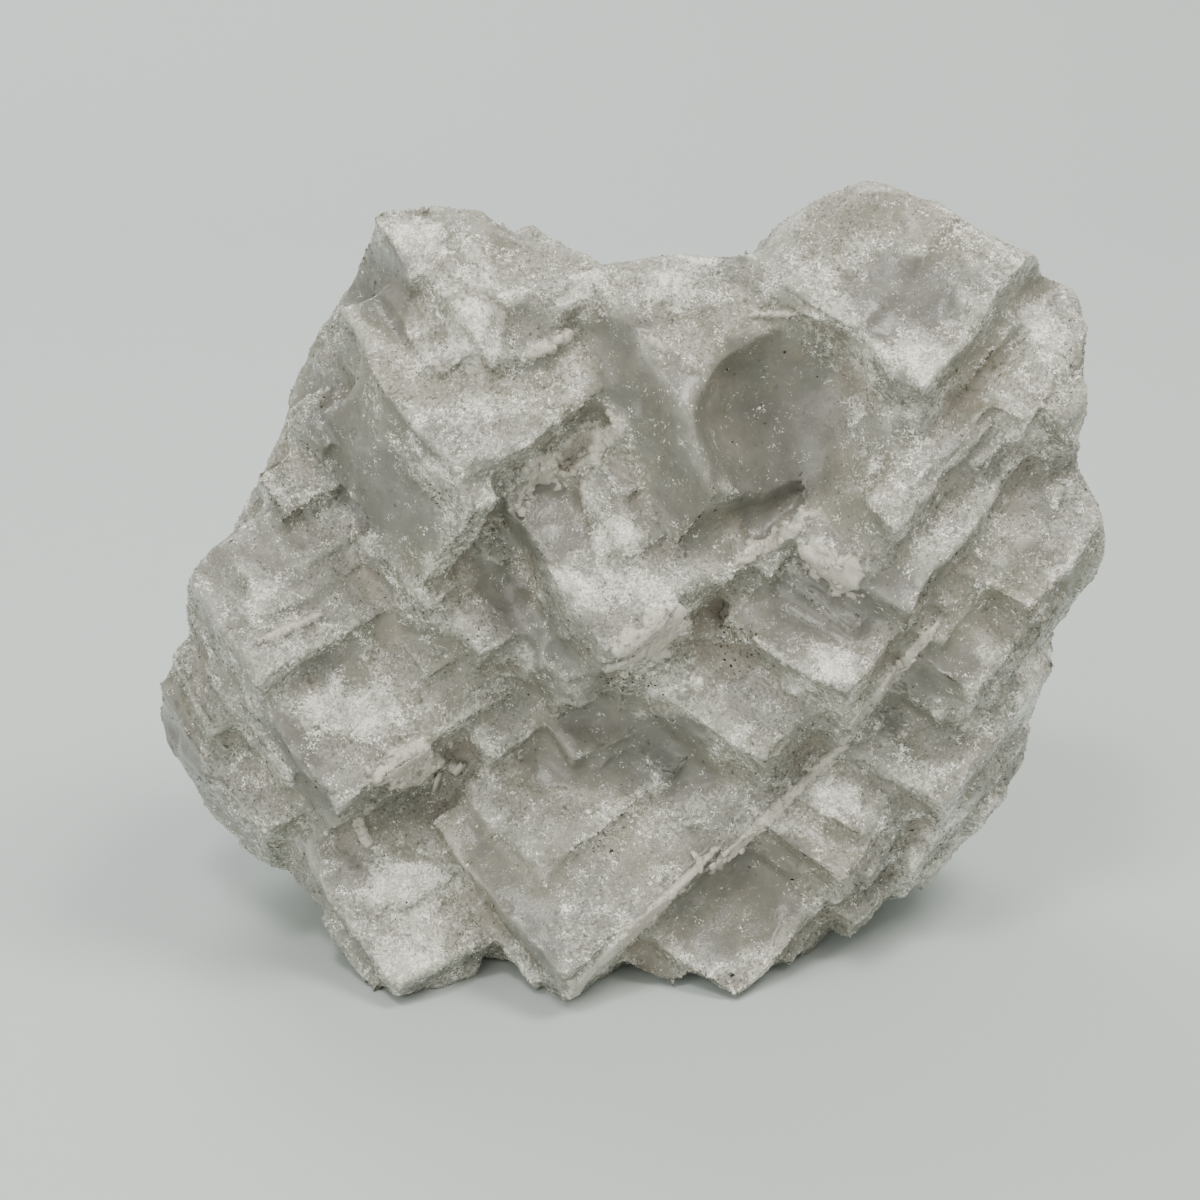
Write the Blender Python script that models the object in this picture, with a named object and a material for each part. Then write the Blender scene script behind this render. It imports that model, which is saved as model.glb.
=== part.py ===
"""Druzy fluorite specimen: stepped, intergrown fluorite cubes on a little matrix, fused in one solid.

Metres, +Z up, the showing side towards -Y. The specimen stands on a flat base at z = 0.
"""

import math
import random
from collections import namedtuple

import bmesh
import bpy
from mathutils import Euler, Matrix, Vector

MM = 0.001

# Driving dimensions, in millimetres and degrees.
FRONT_LEAN = 8.0          # the crystal front leans back from the vertical
FACE_RISE = 45.0          # how far the large cube faces look up from the horizontal
CORE_DEPTH = 18.0         # matrix, from the front plane to the back
SHOWING_RISE = 22.0       # the broken edge runs straight back along this slope
ARM_OVERLAP = 5.0         # how far each cube runs on under its upper neighbours
ROOT_DEPTH = 12.0         # how far each cube runs on into the matrix
TERRACE_RISER = 0.9       # height of one growth step
MISFIT = 3.5              # how far neighbouring cubes are out of parallel
SEED = 41

# Domains of nearly parallel cubes: how far a right edge rises, how far the faces look to the right,
# and how far they are rolled about their left edge.
LEFT_DOMAIN = (28.0, 12.0, 0.0)
KEEL_DOMAIN = (43.0, 0.0, 0.0)
RIGHT_DOMAIN = (53.0, 0.0, 0.0)
WALL_DOMAIN = (28.0, 12.0, 66.0)

# A cube stands with one corner, its nose, towards the viewer and downwards.
# across, height, out: the nose. left, right: the edges running up from it. deep: back along the nose edge.
Cube = namedtuple("Cube", "across height out left right deep steps")

LEFT_CUBES = {
    "dome": Cube(-15, 48.8, 13, 14, 12, 20, 1),
    "dome_top": Cube(-12.4, 58, 9.5, 7, 8, 10, 1),
    "crown": Cube(-19.5, 63.5, 6, 5, 9, 12, 1),
    "shelf": Cube(-32.5, 29.5, 9, 9, 13, 14, 2),
    "left_block": Cube(-26, 19.5, 11, 17, 15, 13, 2),
    "low_plate": Cube(-33.5, 13, 4, 17, 10, 12, 3),
    "left_foot": Cube(-21, 2, 10, 12, 12, 12, 2),
    "heart": Cube(-2.7, 34, 13, 11, 12, 13, 2),
    "heart_ledge_left": Cube(-6, 28.5, 8, 11, 5, 7, 1),
    "heart_ledge_right": Cube(-1, 29.5, 8, 4, 10, 6, 1),
    "valley_high": Cube(-18.5, 35, 7, 4, 5, 9, 1),
    "valley_low": Cube(-13.5, 31, 7, 8, 7, 8, 1),
    "saddle": Cube(10, 50, 12, 17, 12, 20, 0),
}

KEEL_CUBES = {
    "keel": Cube(-6, 4.6, 13, 15, 26, 13, 2),
    "keel_ledge": Cube(-9.5, 0.5, 4.5, 13, 10, 9, 1),
}

RIGHT_CUBES = {
    "middle_block": Cube(11, 22, 9.5, 16, 9, 10, 1),
    "right_foot": Cube(9.2, 0.4, 9, 12, 17, 12, 2),
    "inner_foot": Cube(3.5, 0.3, 6.5, 6, 14, 8, 1),
    "stair_1": Cube(18, 11, 8, 10, 11, 10, 2),
    "stair_2": Cube(27, 17, 7, 10, 11, 10, 3),
    "stair_3": Cube(29.5, 28, 9, 9, 14, 10, 3),
    "stair_4": Cube(34, 35, 8, 11, 7, 9, 1),
    "right_knob": Cube(38, 38.5, 6, 9, 8, 10, 2),
    "ridge_low": Cube(17.5, 29, 12, 9, 13, 10, 1),
    "ridge_high": Cube(23.5, 36, 11, 9, 15, 10, 2),
    "ridge_top": Cube(22, 43.5, 11, 5, 16, 9, 1),
    "shoulder": Cube(24, 55.5, 11, 20, 18, 16, 2),
    "shoulder_side": Cube(33, 51, 6, 12, 11, 13, 2),
    "under_shoulder": Cube(30, 47, 6, 8, 9, 8, 1),
    "small_knob": Cube(38, 49, 5, 5, 4, 7, 1),
    "hollow_wall": Cube(20, 47.5, 9, 5, 14, 9, 1),
}

# Plain blocks with no steps: smooth walls that lean against the dome and the saddle, and a floor.
WALLS = (
    (WALL_DOMAIN, Cube(-18.9, 36.1, 6.2, 17, 13, 3.5, 0)),
    (WALL_DOMAIN, Cube(3.3, 40.1, 6.2, 23, 12, 6, 0)),
    (RIGHT_DOMAIN, Cube(11.8, 38, 6.5, 11, 13, 12, 0)),
)

# Outline of the specimen as (across, height), from the top left clockwise.
OUTLINE = (
    (-27, 62.5), (-22.5, 68), (-12.5, 68.5), (-9, 66), (-2, 64), (10, 65), (13, 67.5), (20.5, 71.5),
    (26.5, 69), (39, 62), (40.5, 58), (39.5, 54), (39.5, 48.5), (42.5, 39.5), (41.5, 33), (38, 22),
    (36.5, 15.5), (32, 8), (24, 3), (14, -2), (9, -5), (-22, -5), (-29, 4.5), (-34, 6.5),
    (-41.5, 11.5), (-45.5, 20.5), (-45, 26), (-40.5, 34), (-33, 48.5), (-31.5, 55),
)
MIDDLE = (0.0, 34.0)
# Rings from front to back: out from the front plane, and how much of the outline each one fills.
CORE_RINGS = ((1.0, 0.50), (-1.0, 0.70), (-5.0, 0.92), (-9.0, 1.03), (-13.0, 0.98), (-CORE_DEPTH, 0.64))
ENVELOPE_RINGS = ((30.0, 0.99), (0.0, 0.99), (-8.0, 0.97), (-14.0, 0.93), (-19.0, 0.82), (-24.0, 0.60))
ENVELOPE_ROUGHNESS = 0.5
# The smooth hollow under the right shoulder.
HOLLOW_PLACE = (13.5, 52.5, 13.0)
HOLLOW_SIZE = (17.0, 21.0, 24.0)
# A pit in the top of the dome.
PIT_PLACE = (-8.6, 60.2, 8.8)
PIT_SIZE = (6.5, 7.5, 6.5)

FILLER_PITCH = 8.5
FILLER_CUBE = 15.0
FILLER_OUT = 4.0

# Small cubes over the top, the sides and the broken edge: how far back each row is, and how proud.
EDGE_ROWS = ((-4.0, -0.9), (-8.0, -0.5), (-12.0, 0.4), (-16.0, 0.8), (-20.0, 0.8))
EDGE_CUBE = 5.5
SMOOTH_SIDE = -20.0       # left of here the front half of the edge is smooth
SMOOTH_TOP = 60.0         # and above here
SMOOTH_SINKS = 0.9        # so its cubes stay sunk

BACK_CUBES = 34
BACK_CUBE = 11.0


def clear_scene():
    for obj in list(bpy.data.objects):
        bpy.data.objects.remove(obj, do_unlink=True)


def front_point(across, height, out):
    """A point given by its height above the base and its distance out of the leaning front plane."""
    back = height * math.tan(math.radians(FRONT_LEAN))
    return Vector((across, back - out, height)) * MM


def showing_direction():
    """One millimetre towards the side that the specimen is seen from."""
    rise = math.radians(SHOWING_RISE)
    return Vector((0, -math.cos(rise), math.sin(rise))) * MM


def lattice(domain, rng):
    """Left edge, right edge and face normal of a cube whose large face looks up and forwards."""
    twist, yaw, roll = domain
    rise = math.radians(FACE_RISE)
    turn = math.radians(twist)
    normal = Vector((0, -math.cos(rise), math.sin(rise)))
    uphill = Vector((0, math.sin(rise), math.cos(rise)))
    level = Vector((1, 0, 0))
    right = level * math.cos(turn) + uphill * math.sin(turn)
    left = uphill * math.cos(turn) - level * math.sin(turn)
    wobble = Euler([math.radians(rng.uniform(-MISFIT, MISFIT)) for _ in range(3)]).to_matrix()
    about = wobble @ Matrix.Rotation(math.radians(yaw), 3, "Z")
    rolled = about @ Matrix.Rotation(math.radians(-roll), 3, left)
    return about @ left, rolled @ right, rolled @ normal


def add_block(name, nose, axes, sizes, growth):
    """A box with one corner at the nose, kept as a hidden helper for the union."""
    left, right, normal = axes
    middle = nose + (left * sizes[0] + right * sizes[1] - normal * sizes[2]) * (MM / 2)
    mesh = bpy.data.meshes.new(name)
    shape = bmesh.new()
    bmesh.ops.create_cube(shape, size=1.0)
    turn = Matrix((left, right, normal)).transposed().to_4x4()
    scale = Matrix.Diagonal((sizes[0] * MM, sizes[1] * MM, sizes[2] * MM, 1))
    bmesh.ops.transform(shape, matrix=Matrix.Translation(middle) @ turn @ scale, verts=shape.verts)
    bmesh.ops.recalc_face_normals(shape, faces=shape.faces)
    shape.to_mesh(mesh)
    shape.free()
    block = bpy.data.objects.new(name, mesh)
    block.hide_render = True
    block.display_type = "WIRE"
    growth.objects.link(block)
    return block


def grow_cube(name, cube, domain, growth, rng):
    """The cube itself, then growth steps that draw back from its nose, and a plate on each side."""
    axes = lattice(domain, rng)
    left, right, normal = axes
    nose = front_point(cube.across, cube.height, cube.out)
    reach = (cube.left + ARM_OVERLAP, cube.right + ARM_OVERLAP, cube.deep + ROOT_DEPTH)
    add_block(name, nose, axes, reach, growth)
    level = nose.copy()
    sizes = reach[:2]
    for step in range(cube.steps):
        back = (sizes[0] * rng.uniform(0.05, 0.5), sizes[1] * rng.uniform(0.05, 0.4))
        riser = TERRACE_RISER * rng.uniform(0.5, 1.3)
        level += (left * back[0] + right * back[1] + normal * riser) * MM
        sizes = [(side - gap) * rng.uniform(0.9, 1.04) for side, gap in zip(sizes, back)]
        add_block(f"{name}_step_{step}", level, axes, (sizes[0], sizes[1], riser + 1.5), growth)
    grow_side_plates(name, cube, nose, axes, growth, rng)


def grow_side_plates(name, cube, nose, axes, growth, rng):
    """A lower step against each of the two sides that meet at the nose."""
    left, right, normal = axes
    drop = cube.deep * rng.uniform(0.2, 0.45)
    thick = TERRACE_RISER * rng.uniform(0.7, 1.3)
    start = cube.left * rng.uniform(0.1, 0.4)
    corner = nose + (left * start - right * thick - normal * drop) * MM
    length = (cube.left - start) * rng.uniform(0.6, 0.95)
    add_block(f"{name}_plate_left", corner, axes, (length, thick + 2, cube.deep * 0.5), growth)
    start = cube.right * rng.uniform(0.1, 0.4)
    corner = nose + (right * start - left * thick - normal * drop * 0.8) * MM
    length = (cube.right - start) * rng.uniform(0.6, 0.95)
    add_block(f"{name}_plate_right", corner, axes, (thick + 2, length, cube.deep * 0.5), growth)


def grow_front(growth, rng):
    fronts = ((LEFT_DOMAIN, LEFT_CUBES), (KEEL_DOMAIN, KEEL_CUBES), (RIGHT_DOMAIN, RIGHT_CUBES))
    for domain, cubes in fronts:
        for name, cube in cubes.items():
            grow_cube(name, cube, domain, growth, rng)


def grow_walls(growth, rng):
    for index, (domain, wall) in enumerate(WALLS):
        nose = front_point(wall.across, wall.height, wall.out)
        add_block(f"wall_{index}", nose, lattice(domain, rng), (wall.left, wall.right, wall.deep), growth)


def beside_dome(across, height):
    return across < -17 and height > 37


def in_hollow(across, height):
    aside = (across - HOLLOW_PLACE[0]) / (HOLLOW_SIZE[0] / 2)
    above = (height - HOLLOW_PLACE[1]) / (HOLLOW_SIZE[1] / 2)
    return math.hypot(aside, above) < 1.1


def grow_fillers(growth, rng):
    """Middling cubes all over the front, so that the large ones stand out of a crowd and not of a plain."""
    rows = int(66 / FILLER_PITCH)
    columns = int(84 / FILLER_PITCH)
    for row in range(rows):
        for column in range(columns):
            height = 5 + row * FILLER_PITCH + rng.uniform(-2, 2)
            across = -38 + (column + 0.5 * (row % 2)) * FILLER_PITCH + rng.uniform(-2, 2)
            fill = outline_share(across, height)
            if fill > 0.84 or in_hollow(across, height) or beside_dome(across, height):
                continue
            domain = LEFT_DOMAIN if across + 0.25 * (height - 34) < -3 else RIGHT_DOMAIN
            axes = lattice(domain, rng)
            size = [FILLER_CUBE * rng.uniform(0.7, 1.2) for _ in range(3)]
            out = FILLER_OUT * (1 - fill ** 3) + rng.uniform(-1.5, 1.5)
            nose = front_point(across, height - 3, out)
            add_block(f"filler_{row}_{column}", nose, axes, size, growth)


def outline_share(across, height):
    """How far out of the matrix middle a point is, 1 being on the outline."""
    spot = (across - MIDDLE[0], height - MIDDLE[1])
    turn = math.atan2(spot[1], spot[0])
    reach = 0.0
    for first, second in zip(OUTLINE, OUTLINE[1:] + OUTLINE[:1]):
        a = (first[0] - MIDDLE[0], first[1] - MIDDLE[1])
        b = (second[0] - MIDDLE[0], second[1] - MIDDLE[1])
        ray = (math.cos(turn), math.sin(turn))
        cross = ray[0] * (b[1] - a[1]) - ray[1] * (b[0] - a[0])
        if abs(cross) < 1e-9:
            continue
        distance = (a[0] * (b[1] - a[1]) - a[1] * (b[0] - a[0])) / cross
        along = (a[0] * ray[1] - a[1] * ray[0]) / cross
        if distance > 0 and 0 <= along <= 1:
            reach = max(reach, distance)
    return math.hypot(*spot) / reach if reach else 2.0


def outline_point(turn, share):
    """A point on the matrix outline, turn running from 0 to 1 round it, drawn in towards its middle."""
    count = len(OUTLINE)
    place = (turn % 1.0) * count
    first = OUTLINE[int(place)]
    second = OUTLINE[(int(place) + 1) % count]
    part = place - int(place)
    spot = [a + (b - a) * part for a, b in zip(first, second)]
    return [m + (s - m) * share for m, s in zip(MIDDLE, spot)]


def outward_share(out):
    """How much of the outline the envelope fills at this distance out of the front plane."""
    for (near, wide), (far, narrow) in zip(ENVELOPE_RINGS, ENVELOPE_RINGS[1:]):
        if far <= out <= near:
            return narrow + (wide - narrow) * (out - far) / (near - far)
    return ENVELOPE_RINGS[-1][1]


def grow_edge(growth, rng):
    """Rows of small cubes half sunk in the edge, so that its outline is knobbly."""
    count = len(OUTLINE)
    for row, (out, proud) in enumerate(EDGE_ROWS):
        for index in range(count):
            edge = EDGE_CUBE * rng.uniform(0.6, 1.35)
            turn = (index + rng.uniform(0.1, 0.9)) / count
            sunk = edge * 0.5 - proud
            edge_across, edge_height = outline_point(turn, 1.0)
            if edge_height > SMOOTH_TOP or (edge_across < SMOOTH_SIDE and out > -10):
                sunk += SMOOTH_SINKS
            across, height = outline_point(turn, outward_share(out) - sunk / 36)
            if height < edge * 0.8:
                continue
            twist, yaw, roll = LEFT_DOMAIN if across < 0 else RIGHT_DOMAIN
            axes = lattice((twist + rng.uniform(-9, 9), yaw, roll), rng)
            size = [edge * rng.uniform(0.8, 1.2) for _ in range(3)]
            middle = front_point(across, height, 0) + showing_direction() * (out + rng.uniform(-2, 2))
            nose = middle - (axes[0] * size[0] + axes[1] * size[1] - axes[2] * size[2]) * (MM / 2)
            add_block(f"edge_{row}_{index}", nose, axes, size, growth)


def grow_back(growth, rng):
    """Cubes over the back, looking away from the showing side."""
    about = Matrix.Rotation(math.pi, 3, "Z")
    for index in range(BACK_CUBES):
        across, height = outline_point(rng.random(), 0.72 * rng.random() ** 0.8)
        if height < 8:
            continue
        axes = [about @ axis for axis in lattice(rng.choice((LEFT_DOMAIN, RIGHT_DOMAIN)), rng)]
        size = [BACK_CUBE * rng.uniform(0.6, 1.15) for _ in range(3)]
        middle = front_point(across, height, 0) - showing_direction() * (CORE_DEPTH + rng.uniform(0, 3))
        nose = middle - (axes[0] * size[0] + axes[1] * size[1] - axes[2] * size[2]) * (MM / 2)
        add_block(f"back_{index}", nose, axes, size, growth)


def outline_ring(share, outline=OUTLINE):
    """The outline drawn in towards its middle; what lies under the base stays there."""
    ring = []
    for across, height in outline:
        inner = [middle + (spot - middle) * share for middle, spot in zip(MIDDLE, (across, height))]
        ring.append((inner[0], height if height < -1 else inner[1]))
    return ring


def loft(name, rings):
    """A closed solid through rings of points from front to back."""
    shape = bmesh.new()
    loops = [[shape.verts.new(point) for point in ring] for ring in rings]
    for front, rear in zip(loops, loops[1:]):
        for index in range(len(front)):
            after = (index + 1) % len(front)
            shape.faces.new((front[index], rear[index], rear[after], front[after]))
    shape.faces.new(loops[0])
    shape.faces.new(reversed(loops[-1]))
    bmesh.ops.triangulate(shape, faces=shape.faces)
    bmesh.ops.recalc_face_normals(shape, faces=shape.faces)
    mesh = bpy.data.meshes.new(name)
    shape.to_mesh(mesh)
    shape.free()
    solid = bpy.data.objects.new(name, mesh)
    bpy.context.scene.collection.objects.link(solid)
    return solid


def add_core(name):
    rings = []
    for out, share in CORE_RINGS:
        rings.append([front_point(across, height, out) for across, height in outline_ring(share)])
    return loft(name, rings)


def add_envelope(rng):
    """The broken edge and back of the specimen, which the cubes stop at."""
    outline = []
    for first, second in zip(OUTLINE, OUTLINE[1:] + OUTLINE[:1]):
        outline += [first, [(a + b) / 2 for a, b in zip(first, second)]]
    rings = []
    for out, share in ENVELOPE_RINGS:
        ring = []
        for across, height in outline_ring(share, outline):
            rough = [rng.uniform(-1, 1) * ENVELOPE_ROUGHNESS for _ in range(2)]
            ring.append(front_point(across + rough[0], height + rough[1], 0) + showing_direction() * out)
        rings.append(ring)
    envelope = loft("envelope", rings)
    envelope.hide_render = True
    envelope.display_type = "WIRE"
    return envelope


def add_round_cutter(name, place, size, subdivisions):
    """A rounded cutter for a hollow; its size is across, high and deep."""
    mesh = bpy.data.meshes.new(name)
    shape = bmesh.new()
    bmesh.ops.create_icosphere(shape, subdivisions=subdivisions, radius=0.5)
    wide, high, deep = size
    bmesh.ops.scale(shape, vec=Vector((wide, deep, high)) * MM, verts=shape.verts)
    bmesh.ops.translate(shape, vec=front_point(*place), verts=shape.verts)
    shape.to_mesh(mesh)
    shape.free()
    cutter = bpy.data.objects.new(name, mesh)
    cutter.hide_render = True
    cutter.display_type = "WIRE"
    bpy.context.scene.collection.objects.link(cutter)
    return cutter


def add_ground_cutter():
    """A slab that takes off all below the base, so that the specimen rests flat."""
    mesh = bpy.data.meshes.new("ground_cutter")
    shape = bmesh.new()
    bmesh.ops.create_cube(shape, size=0.2)
    bmesh.ops.translate(shape, vec=(0, 0, -0.1), verts=shape.verts)
    shape.to_mesh(mesh)
    shape.free()
    cutter = bpy.data.objects.new("ground_cutter", mesh)
    cutter.hide_render = True
    cutter.display_type = "WIRE"
    bpy.context.scene.collection.objects.link(cutter)
    return cutter


def add_boolean(solid, operation, other):
    step = solid.modifiers.new(other.name, "BOOLEAN")
    step.operation = operation
    step.solver = "EXACT"
    if isinstance(other, bpy.types.Collection):
        step.operand_type = "COLLECTION"
        step.collection = other
    else:
        step.object = other


def islands(shape):
    """The separate closed surfaces of a mesh, as lists of vertices."""
    left = set(shape.verts)
    found = []
    while left:
        start = left.pop()
        island = [start]
        waiting = [start]
        while waiting:
            vert = waiting.pop()
            for edge in vert.link_edges:
                other = edge.other_vert(vert)
                if other in left:
                    left.remove(other)
                    island.append(other)
                    waiting.append(other)
        found.append(island)
    return found


def keep_outer_skin(cluster):
    """Makes the fused shape real and fills the small pores left sealed between the cubes."""
    graph = bpy.context.evaluated_depsgraph_get()
    fused = bpy.data.meshes.new_from_object(cluster.evaluated_get(graph))
    shape = bmesh.new()
    shape.from_mesh(fused)
    bmesh.ops.remove_doubles(shape, verts=shape.verts, dist=0.0005 * MM)
    skins = sorted(islands(shape), key=len)
    for pore in skins[:-1]:
        bmesh.ops.delete(shape, geom=pore, context="VERTS")
    bmesh.ops.triangulate(shape, faces=shape.faces)
    shape.to_mesh(fused)
    shape.free()
    cluster.modifiers.clear()
    cluster.data = fused


def centre_over_base(cluster):
    """Puts the origin on the resting plane, under the middle of the specimen's extents."""
    verts = cluster.data.vertices
    middle = Vector((0, 0, 0))
    for axis in (0, 1):
        places = [vert.co[axis] for vert in verts]
        middle[axis] = (min(places) + max(places)) / 2
    cluster.data.transform(Matrix.Translation(-middle))


def fluorite_material():
    material = bpy.data.materials.new("milky_grey_fluorite")
    material.use_nodes = True
    shader = material.node_tree.nodes["Principled BSDF"]
    shader.inputs["Base Color"].default_value = (0.31, 0.31, 0.27, 1)
    shader.inputs["Roughness"].default_value = 0.45
    shader.inputs["Metallic"].default_value = 0.0
    material.diffuse_color = (0.31, 0.31, 0.27, 1)
    return material


def new_growth(name):
    growth = bpy.data.collections.new(name)
    bpy.context.scene.collection.children.link(growth)
    return growth


def build_cluster():
    rng = random.Random(SEED)
    cubes = new_growth("cubes")
    edge_cubes = new_growth("edge_cubes")
    cluster = add_core("fluorite_cluster")
    grow_front(cubes, rng)
    grow_fillers(cubes, rng)
    grow_back(edge_cubes, rng)
    grow_edge(edge_cubes, rng)
    grow_walls(cubes, random.Random(SEED))
    add_boolean(cluster, "UNION", cubes)
    add_boolean(cluster, "DIFFERENCE", add_round_cutter("hollow_cutter", HOLLOW_PLACE, HOLLOW_SIZE, 3))
    add_boolean(cluster, "DIFFERENCE", add_round_cutter("pit_cutter", PIT_PLACE, PIT_SIZE, 2))
    add_boolean(cluster, "INTERSECT", add_envelope(rng))
    add_boolean(cluster, "UNION", edge_cubes)
    add_boolean(cluster, "DIFFERENCE", add_ground_cutter())
    keep_outer_skin(cluster)
    centre_over_base(cluster)
    cluster.data.materials.append(fluorite_material())
    return cluster


clear_scene()
build_cluster()
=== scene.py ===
"""Looks of the druzy fluorite specimen: a milky cube cluster under a crust of fine druzy grains.

Shapes are worked out in millimetres. A mesh, a light and the camera hold metres, as Blender does.
"""

import math

import bpy
import numpy as np
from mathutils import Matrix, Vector


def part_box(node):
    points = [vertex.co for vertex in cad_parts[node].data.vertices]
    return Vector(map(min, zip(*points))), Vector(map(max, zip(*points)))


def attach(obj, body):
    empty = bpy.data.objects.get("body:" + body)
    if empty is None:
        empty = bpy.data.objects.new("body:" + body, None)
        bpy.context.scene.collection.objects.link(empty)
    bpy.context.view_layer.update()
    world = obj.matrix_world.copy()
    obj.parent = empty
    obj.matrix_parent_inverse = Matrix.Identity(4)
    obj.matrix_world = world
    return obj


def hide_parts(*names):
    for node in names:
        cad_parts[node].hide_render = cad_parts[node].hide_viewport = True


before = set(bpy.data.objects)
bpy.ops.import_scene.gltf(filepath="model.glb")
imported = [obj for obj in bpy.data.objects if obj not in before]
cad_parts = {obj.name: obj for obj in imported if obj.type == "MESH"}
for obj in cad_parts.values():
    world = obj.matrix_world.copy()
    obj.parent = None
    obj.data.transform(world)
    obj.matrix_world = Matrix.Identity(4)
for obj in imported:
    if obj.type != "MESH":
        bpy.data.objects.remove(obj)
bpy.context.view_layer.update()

MM = 0.001
SEED = 20
WORK = 1.0

# The camera looks down at the showing side.
SHOWING_RISE = 22.0      # degrees
VIEW_DISTANCE = 246.0    # mm
VIEW_TARGET = (-2.1, -12.0, 35.9)
LENS = 85.0              # mm, on a sensor of SENSOR_WIDTH
SENSOR_WIDTH = 36.0
NEAREST_SEEN = 0.01      # metres

FACE_RISE = 45.0         # degrees; how far the large faces look up
# Domains of parallel cubes: how far a right edge rises, and how far the faces look to the right, in degrees.
LEFT_DOMAIN = (28.0, 12.0)
KEEL_DOMAIN = (43.0, 0.0)
RIGHT_DOMAIN = (53.0, 0.0)
DOMAINS = (LEFT_DOMAIN, KEEL_DOMAIN, RIGHT_DOMAIN)
DOMAIN_BORDER = (-1.0, 34.0, 0.25)         # across at that height, and its lean to the left for each mm up
KEEL_PLACE = (-1.0, 15.0, 19.0, 15.0)      # across, height, half width, half height

# The body: how finely it is remeshed, and how it is worn and lifted. Lengths are in mm, and an effect grows
# from nothing to full between a pair of them.
BODY_VOXEL = 0.30
BODY_TRIANGLES = 192000
SLIGHT_ROUNDS = 9        # rounds of blurring, each after the one before
MUCH_ROUNDS = 30
WHOLE_ROUNDS = 90
RECESS_DEPTH = (0.25, 1.7)   # how deep a recess is for it to be filled
CRISP_SIZE = 8.0         # size of the places that stay crisp or are worn
EDGE_ROUNDS = 14
EDGE_HEIGHT = (0.02, 0.30)   # how far an edge stands out for it to chip
CHIP_SIZE = 2.6
CHIP_DEPTH = 0.5
SWELL = (7.0, 1.2)       # size and height of the slow swelling, and of finer ripples on it
RIPPLE = (2.4, 0.3)
FOOT_HEIGHT = (0.2, 3.0)     # the foot stays in place, and what is higher is bent
SHIFT = (9.0, 1.1)       # size and reach of the bending
INSET = 0.45             # the surface is drawn in by this, so that what is lifted stays in the CAD box
CRUST_LIFT = 0.22
CRUST_ROUGHNESS = 0.22   # height of the crust's bumps, and their size
CRUST_GRAIN = 0.8
CREAM_LIFT = 0.5
SPIKE_ROUNDS = 8
SPIKE_HEIGHT = (0.22, 0.45)  # a point that blurring moves this far is a spike, and is rounded off
BOX_MARGIN = 0.02
BASE_HEIGHT = 0.35       # what is lower lies flat on the floor
DECIMATE_MARGIN = 0.995  # keeps rounding from passing BODY_TRIANGLES
NEAR_ROUNDS = 6          # blurring that finds edges
EDGE_GLOW_HEIGHT = (0.03, 0.20)   # how far an edge stands out for a rim of frost and painted glow, and for a halo of frost
HALO_HEIGHT = (0.02, 0.2)
HALO_ROUNDS = 9
WIDE_ROUNDS = 60         # blurring that finds hollows and what stands proud
HOLLOW_DEPTH = (0.05, 0.8)
PROUD_HEIGHT = (0.1, 1.2)

# Growth steps, in mm. The triples squeeze the noise along a cube's two edges and its face normal.
STEP_BLOCK = 1.9         # side of the blocks that the steps are made of
STEP_LEVELS = 8
STEP_HEIGHT = 0.9
ALONG_FACE = (1.0, 1.0, 0.2)
ALONG_STACK = (0.2, 0.2, 0.6)
PLATE_HEIGHT = 0.24
PLATE_LIP = 0.08
BEND = (6.0, 1.4)        # size and reach of what bends the steps, and of what makes them jagged
JAG = (0.9, 0.35)

# What is scattered: how many, the typical size in mm with the spread of its logarithm, and how far it leans.
# Unless it says mm, any other length is a share of the size, and a pair holds the limits of a random number.
GRAIN_PIECES = 4
GRAINS_A_PIECE = 42000   # three triangles each
GRAIN_SIZE = (0.16, 0.38)
GRAIN_LEAN = 0.42
GRAIN_TURN = 0.4         # radians by which a corner is turned at random
GRAIN_REACH = (0.6, 0.95)
GRAIN_HEIGHT = (0.22, 0.55)
GRAIN_ROOT = 0.16
SMALL_CUBES = 1100
CUBE_SIZE = (0.34, 0.35)
CUBE_LEAN = 0.07
CUBE_DEPTH = (0.45, 0.62)
CUBE_STRETCH = (0.7, 1.35)
FLAKES = 220
FLAKE_SIZE = (0.28, 0.40)
FLAKE_LEAN = 0.11
FLAKE_CORNERS = 9
FLAKE_TURN = 0.25        # radians
FLAKE_REACH = (0.45, 1.15)
FLAKE_STRETCH = (1.0, 1.9)
FLAKE_THICKNESS = (0.04, 0.10)   # mm, as are the next two
FLAKE_TILT = 0.10
FLAKE_ROOT = 0.15        # how far it goes below the surface
SPECKS = 460
SPECK_SIZE = (0.12, 0.45)
SPECK_CORNERS = 6
SPECK_ROOT = 0.2
SPECK_REACH = (0.6, 1.3)
FORM = ("edge", "hollow", "crust", "cream", "frost", "glass")

# Salts tell the noises apart. A layered noise also takes the next few numbers, and wander takes three sets,
# so a few numbers are shared, at other sizes.
CRISP_SALT = 11
CHIP_SALT = 15
SWELL_SALT = 21
RIPPLE_SALT = 25
ROUGH_SALT = 31
SHIFT_SALT = 41
FRAY_SALT = 51
STEP_SALT = 71
BEND_SALT = 75
JAG_SALT = 76
STACK_SALT = 77
LEDGE_SALT = 79
CRUST_SALT = 81
STREAK_SALT = 91
BAND_SALT = 97
NOISE_ORIGIN = 1000.0    # keeps every cell's number above zero
HASH_PRIMES = (73856093, 19349663, 83492791)
HASH_SALT = 2654435761
HASH_MIX = 1274126177
HASH_SPAN = 0xFFFFFF

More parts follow.
